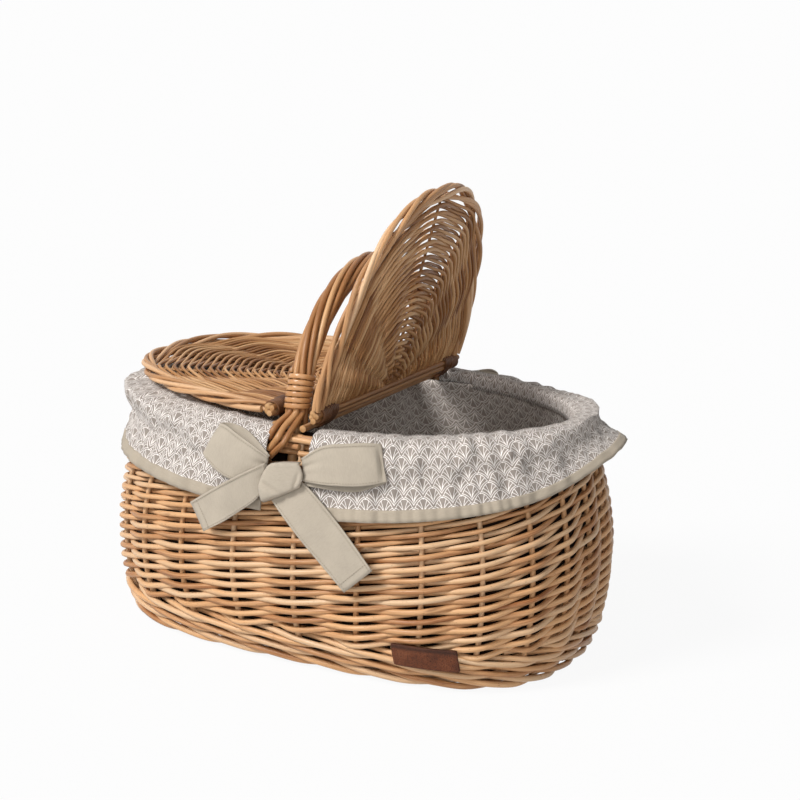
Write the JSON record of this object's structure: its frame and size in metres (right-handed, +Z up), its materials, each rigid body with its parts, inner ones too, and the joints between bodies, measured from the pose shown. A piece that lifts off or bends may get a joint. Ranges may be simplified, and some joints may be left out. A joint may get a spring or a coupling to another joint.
{
  "type": "picnic_basket",
  "caption": "Oval woven willow picnic basket with a roped bow handle, two hinged half lids and a cotton liner folded over the rim and tied with ribbon bows.",
  "frame": {"origin": "On the floor under the middle of the basket", "axes": "+Z up, +X along the basket towards the lid that stands open at rest, +Y to the back"},
  "size_m": [0.465, 0.3528, 0.4095],
  "materials": {
    "wall_willow": "satin",
    "lid_willow": "satin",
    "handle_willow": "satin",
    "dark_willow": "satin",
    "liner_cotton": "matte",
    "trim_cotton": "matte",
    "leather": "matte"
  },
  "bodies": {
    "basket": {"base_sticks": "wall_willow", "base_weave": "wall_willow", "border_hoop": "wall_willow", "border_pair_rod_1": "wall_willow", "border_pair_rod_2": "wall_willow", "bottom_wale_rod_1": "wall_willow", "bottom_wale_rod_2": "wall_willow", "bottom_wale_rod_3": "wall_willow", "bottom_wale_rod_4": "wall_willow", "bottom_wale_rod_5": "wall_willow", "bottom_wale_rod_6": "wall_willow", "bow_back": "trim_cotton", "bow_front": "trim_cotton", "cross_bar_left": "handle_willow", "cross_bar_right": "handle_willow", "handle_binding_back": "handle_willow", "handle_binding_front": "handle_willow", "handle_core": "handle_willow", "handle_strand_1": "handle_willow", "handle_strand_2": "handle_willow", "handle_strand_3": "handle_willow", "handle_strand_4": "handle_willow", "handle_strand_5": "handle_willow", "handle_strand_6": "handle_willow", "handle_strand_7": "handle_willow", "handle_strand_8": "handle_willow", "hinge_loop_left_back": "dark_willow", "hinge_loop_left_front": "dark_willow", "hinge_loop_right_back": "dark_willow", "hinge_loop_right_front": "dark_willow", "leather_patch": "leather", "liner_bag": "liner_cotton", "side_weave": "wall_willow", "skirt_left": "liner_cotton", "skirt_right": "liner_cotton", "stake_frame": "wall_willow", "trim_left": "trim_cotton", "trim_right": "trim_cotton"},
    "left_lid": {"left_lid_frame": "lid_willow", "left_lid_rim_rod_1": "lid_willow", "left_lid_rim_rod_2": "lid_willow", "left_lid_weave": "lid_willow"},
    "right_lid": {"right_lid_frame": "lid_willow", "right_lid_rim_rod_1": "lid_willow", "right_lid_rim_rod_2": "lid_willow", "right_lid_weave": "lid_willow"}
  },
  "joints": [
    {"name": "left_lid_hinge", "type": "hinge", "parent": "basket", "child": "left_lid", "pos_m": [-0.022, 0, 0.225], "axis": [0, 1, 0], "range_deg": [0, 92]},
    {"name": "right_lid_hinge", "type": "hinge", "parent": "basket", "child": "right_lid", "pos_m": [0.022, 0, 0.225], "axis": [0, 1, 0], "range_deg": [-17, 73.8]}
  ]
}
